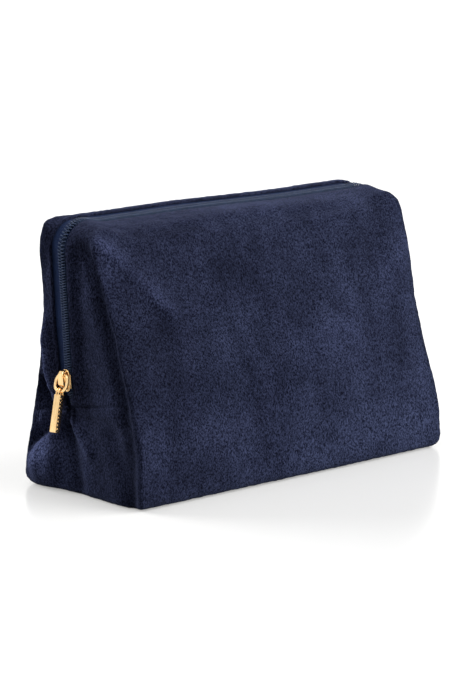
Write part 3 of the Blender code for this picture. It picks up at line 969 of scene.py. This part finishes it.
def box_form(size, place):
    """A block of a size at a place, in its own piece's frame."""
    bpy.ops.object.select_all(action="DESELECT")
    bpy.ops.mesh.primitive_cube_add(size=1, location=place)
    block = bpy.context.object
    block.dimensions = size
    bpy.ops.object.transform_apply(location=True, rotation=True, scale=True)
    return block


def softened(piece, width, segments=3):
    """Round a metal piece's edges."""
    edge = piece.modifiers.new("edges", "BEVEL")
    edge.width = width
    edge.segments = segments
    edge.limit_method = "ANGLE"
    apply_all(piece)
    return piece


def drawn_out(places, moves):
    """A flat outline with its corners at the places, extruded by each of the moves."""
    bpy.ops.object.select_all(action="DESELECT")
    bpy.ops.mesh.primitive_circle_add(vertices=len(places), fill_type="NGON", calc_uvs=False)
    piece = bpy.context.object
    set_coords(piece.data, np.array(places))
    bpy.ops.object.mode_set(mode="EDIT")
    bpy.ops.mesh.select_all(action="SELECT")
    for move in moves:
        bpy.ops.mesh.extrude_region_move(TRANSFORM_OT_translate={"value": move})
    bpy.ops.mesh.select_all(action="SELECT")
    bpy.ops.mesh.normals_make_consistent(inside=False)
    bpy.ops.object.mode_set(mode="OBJECT")
    return piece


def slider_outline(length, wide, narrow):
    """The slider plate's outline: wide shoulders above, rounded and narrower below."""
    top, bottom = length / 2, -length / 2
    right = [(0.0, top), (wide * 0.45, top - 0.0002), (wide * 0.85, top - 0.0012), (wide, top - 0.0030),
             (wide * 0.98, 0.0), (narrow * 1.04, bottom + 0.0030), (narrow * 0.92, bottom + 0.0008),
             (narrow * 0.6, bottom), (0.0, bottom)]
    return right[:-1] + [(-y, z) for y, z in reversed(right)][:-1]


def joined(name, pieces, world):
    """Join gold shapes into one named piece and move it into the world's frame."""
    bpy.ops.object.select_all(action="DESELECT")
    for piece in pieces:
        piece.select_set(True)
    bpy.context.view_layer.objects.active = pieces[0]
    bpy.ops.object.join()
    piece = bpy.context.object
    piece.name = name
    piece.data.name = name
    piece.data.transform(world)
    piece.data.materials.clear()
    piece.data.materials.append(GOLD)
    bpy.ops.object.shade_smooth_by_angle(angle=math.radians(35))
    return piece


def slider_plate(outline, low, high, edge):
    """A plate of the slider between two distances out of the pouch."""
    plate = drawn_out([(-low, y, z) for y, z in outline], [(low - high, 0, 0)])
    return softened(plate, edge)


def slider():
    """Outer and inner plates, side lips and the web between the coils."""
    length = slider_high.z - slider_low.z
    plate = slider_plate(slider_outline(length, 0.0035, 0.0029), 0.0009, 0.0020, 0.00035)
    lips = []
    for side in (-1, 1):
        lip = box_form((0.0008, 0.0004, length * 0.62), (-0.0007, side * 0.00335, -0.0006))
        lips.append(softened(lip, 0.0002))
    web = box_form((0.0036, 0.0005, length * 0.4), (0.0009, 0, length * 0.18))
    inner = slider_plate(slider_outline(length * 0.96, 0.0040, 0.0033), -0.0027, -0.0038, 0.0003)
    return joined("slider_plates", [plate, *lips, web, inner], SLIDER_FRAME)


def bridge():
    """The arch over the ring, with its flat pad."""
    low, high = 0.0020, 0.0057
    top, bottom = 0.0062, -0.0042
    side_view = [(low, top), (high - 0.0012, top - 0.0003), (high - 0.0002, top - 0.0016), (high, 0.0012),
                 (high - 0.0001, -0.0022), (high - 0.0011, bottom + 0.0004), (low, bottom),
                 (low, bottom + 0.0011), (high - 0.0019, bottom + 0.0016), (high - 0.0011, -0.0014),
                 (high - 0.0011, 0.0012), (high - 0.0013, top - 0.0022), (high - 0.0020, top - 0.0013),
                 (low, top - 0.0011)]
    arch = drawn_out([(-out, -1.0, up) for out, up in side_view], [(0, 0.5, 0), (0, 1.0, 0), (0, 0.5, 0)])
    for vertex in arch.data.vertices:
        out, up = -vertex.co.x, vertex.co.z
        pad = float(hump(up, -0.0004, 0.0030)) if out > high - 0.0015 else 0.0
        vertex.co.y *= 0.0017 + 0.0011 * pad
    return joined("slider_bridge_arch", [softened(arch, 0.00022, 2)], SLIDER_FRAME)


RING_WAY = (BAR_PIVOT - RING_PIVOT).normalized()
SWING_AXIS = Vector(JOINTS["pull_ring_swing"]["axis"]).normalized()


def frame_at(pivot, down):
    """A frame with Y along the swing axis and -Z pointing down a piece."""
    z = -down
    y = SWING_AXIS
    x = y.cross(z).normalized()
    return Matrix.Translation(pivot) @ Matrix((x, y, z)).transposed().to_4x4()


def ring():
    """The oval pull ring: a round wire, straight at its sides."""
    length = (BAR_PIVOT - RING_PIVOT).length
    half_wide = 0.0051
    corner = 0.0041
    points = []
    for quarter, (y, z) in enumerate([(half_wide - corner, -corner), (-half_wide + corner, -corner),
                                      (-half_wide + corner, -length + corner),
                                      (half_wide - corner, -length + corner)]):
        for i in range(9):
            angle = math.pi / 2 * (quarter + i / 8)
            points.append((0, y + corner * math.cos(angle), z + corner * math.sin(angle)))
    wire = new_piece("wire", wire_mesh("wire", points, 0.0009, True, 3), GOLD)
    return joined("ring_oval", [wire], frame_at(RING_PIVOT, RING_WAY))


def bar():
    """The square pull bar with its two-pronged eye and a row of plain studs on the front face."""
    tilt = math.radians(14)
    sideways = Vector((-1, 0, 0))
    along = -ZIP_WAY * math.cos(tilt) + sideways * math.sin(tilt)
    drop, length, width, thick = 0.0019, 0.0220, 0.0052, 0.0034
    block = softened(box_form((thick, width, length), (0, 0, -drop - length / 2)), 0.00028)
    prongs = []
    radius = 0.00165
    for side in (-1, 1):
        loop = [(radius, side * 0.0009, -drop - 0.0006)]
        loop += [(radius * math.cos(a), side * 0.0009, radius * math.sin(a))
                 for a in [math.pi * i / 12 for i in range(13)]]
        loop += [(-radius, side * 0.0009, -drop - 0.0006)]
        prongs.append(new_piece("prong", wire_mesh("prong", loop, 0.00042, False, 2), GOLD))
    studs = []
    count = 9
    for number in range(count):
        z = -drop - length * (number + 1) / (count + 1)
        stud = box_form((thick * 0.52, 0.0004, 0.0010), (0, -width / 2 - 0.0001, z))
        studs.append(softened(stud, 0.00015, 2))
    return joined("bar_with_eye", [block, *prongs, *studs], frame_at(BAR_PIVOT, along))


slider_piece = slider()
bridge_piece = bridge()
ring_piece = ring()
bar_piece = bar()

# ---- care label ----
label_low, label_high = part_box("care_label")
LABEL_THICK = 0.0003


def care_label():
    """A blank satin label, curled a little off the lining at its lower edge."""
    patch = bmesh.new()
    bmesh.ops.create_grid(patch, x_segments=8, y_segments=12, size=0.5)
    layer = patch.loops.layers.uv.new("weave")
    size = label_high - label_low
    for face in patch.faces:
        for loop in face.loops:
            loop[layer].uv = (loop.vert.co.x * 14, loop.vert.co.y * 24)
    for vertex in patch.verts:
        x, z = vertex.co.x + 0.5, vertex.co.y + 0.5
        curl = 0.0022 * (1 - z) ** 2
        wall = label_high.y + (label_low.y - label_high.y) * z
        vertex.co = (label_low.x + size.x * x, wall - 0.0012 - curl, label_low.z + size.z * z)
    piece = new_piece("label_blank", mesh_of(patch, "label_blank"), LABEL_CLOTH)
    thickened(piece, LABEL_THICK)
    return piece


label = care_label()
bpy.data.objects.remove(form, do_unlink=True)

# ---- what rides on what ----
for piece in (front_cloth, front_lining, tape_front, coil_front):
    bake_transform(piece)
for piece in (back_cloth, base_cloth, rear_lining, tape_back, coil_back, label):
    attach(piece, "shell")
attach(slider_piece, "slider")
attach(bridge_piece, "slider")
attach(ring_piece, "ring")
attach(bar_piece, "bar")

SIDES = ("left", "right")
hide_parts("front_panel_lower", "front_panel_upper",
            "front_padding_lower", "front_padding_upper", "front_wrap_top",
            *[f"{node}_{side}" for side in SIDES for node in
              ("front_wrap", "front_wrap_foot", "end_panel", "end_padding")])
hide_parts("back_panel", "back_padding", "back_wrap_top", "back_wrap_left", "back_wrap_right")
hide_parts("base_panel", "base_padding")
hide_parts("front_lining_lower", "front_lining_upper", "front_facing_top",
            *[f"{node}_{side}" for side in SIDES for node in ("front_facing", "front_facing_foot")])
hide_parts("back_lining", "base_lining", "back_facing_top",
            *[f"{node}_{side}" for side in SIDES for node in ("back_facing", "end_lining")])
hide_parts("zip_tape_back")
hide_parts("zip_tape_front", "zip_tape_foot_left", "zip_tape_foot_right")
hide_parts("zip_coil_back")
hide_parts("zip_coil_front", "zip_coil_foot_left", "zip_coil_foot_right")
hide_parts("slider_body")
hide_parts("slider_bridge")
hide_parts("pull_ring")
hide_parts("pull_bar")
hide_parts("care_label")

# ---- floor, light and camera ----
bpy.ops.object.select_all(action="DESELECT")
bpy.ops.mesh.primitive_plane_add(size=12, location=(0, 0, -0.0002))
floor = bpy.context.object
floor.name = "studio_floor"
floor_material, floor_tree, floor_shader, floor_add = new_material("studio_floor")
floor_shader.inputs["Base Color"].default_value = (0.55, 0.55, 0.545, 1)
floor_shader.inputs["Emission Color"].default_value = (1.0, 0.995, 0.98, 1)
floor_shader.inputs["Emission Strength"].default_value = 0.32
floor_shader.inputs["Roughness"].default_value = 0.22
floor_shader.inputs["Specular IOR Level"].default_value = 0.5
dull = floor_add("ShaderNodeBsdfDiffuse", Color=(0.24, 0.24, 0.25, 1))
by_light_ray(floor_tree, floor_shader.outputs["BSDF"], dull.outputs["BSDF"], "Material Output")
floor.data.materials.append(floor_material)

SKY_FILL = 0.20
scene = bpy.context.scene
scene.view_settings.view_transform = "Standard"
scene.view_settings.look = "None"
world = bpy.data.worlds.new("studio")
scene.world = world
world.use_nodes = True
sky_tree = world.node_tree
bright = sky_tree.nodes["Background"]
bright.inputs["Color"].default_value = (1, 1, 1, 1)
bright.inputs["Strength"].default_value = 1.0
dim = sky_tree.nodes.new("ShaderNodeBackground")
dim.inputs["Color"].default_value = (1, 1, 1, 1)
dim.inputs["Strength"].default_value = SKY_FILL
by_light_ray(sky_tree, bright.outputs["Background"], dim.outputs["Background"], "World Output")


def sun(name, way, strength, softness):
    """A soft distant light that shines from a direction."""
    data = bpy.data.lights.new(name, "SUN")
    data.energy = strength
    data.angle = math.radians(softness)
    light = bpy.data.objects.new(name, data)
    scene.collection.objects.link(light)
    light.rotation_euler = Vector(way).to_track_quat("Z", "Y").to_euler()
    return light


sun("key_front_right", (0.62, -0.80, 0.62), 4.7, 60)
sun("top_left", (-0.38, 0.10, 0.92), 1.0, 60)
back_left = sun("back_left", (-0.36, 0.82, 0.38), 3.3, 40)
back_left.visible_glossy = False

VIEW_AZIMUTH = math.radians(-42.1)
VIEW_ELEVATION = math.radians(11.8)
VIEW_DISTANCE = 2.08
LENS = 178.9
AIM_SIDEWAYS = -0.00227
AIM_UP = -0.0101
back_way = Vector((math.sin(VIEW_AZIMUTH) * math.cos(VIEW_ELEVATION),
                   -math.cos(VIEW_AZIMUTH) * math.cos(VIEW_ELEVATION), math.sin(VIEW_ELEVATION)))
right_way = Vector((math.cos(VIEW_AZIMUTH), math.sin(VIEW_AZIMUTH), 0))
up_way = back_way.cross(right_way)
aim = Vector((0, 0.0015, 0.080)) + right_way * AIM_SIDEWAYS + up_way * AIM_UP
camera_data = bpy.data.cameras.new("camera")
camera_data.lens = LENS
camera_data.sensor_fit = "VERTICAL"
camera_data.sensor_height = 36
camera_data.sensor_width = 36
camera = bpy.data.objects.new("camera", camera_data)
scene.collection.objects.link(camera)
camera.matrix_world = Matrix.Translation(aim + back_way * VIEW_DISTANCE) @ Matrix(
    (right_way, up_way, back_way)).transposed().to_4x4()
scene.camera = camera
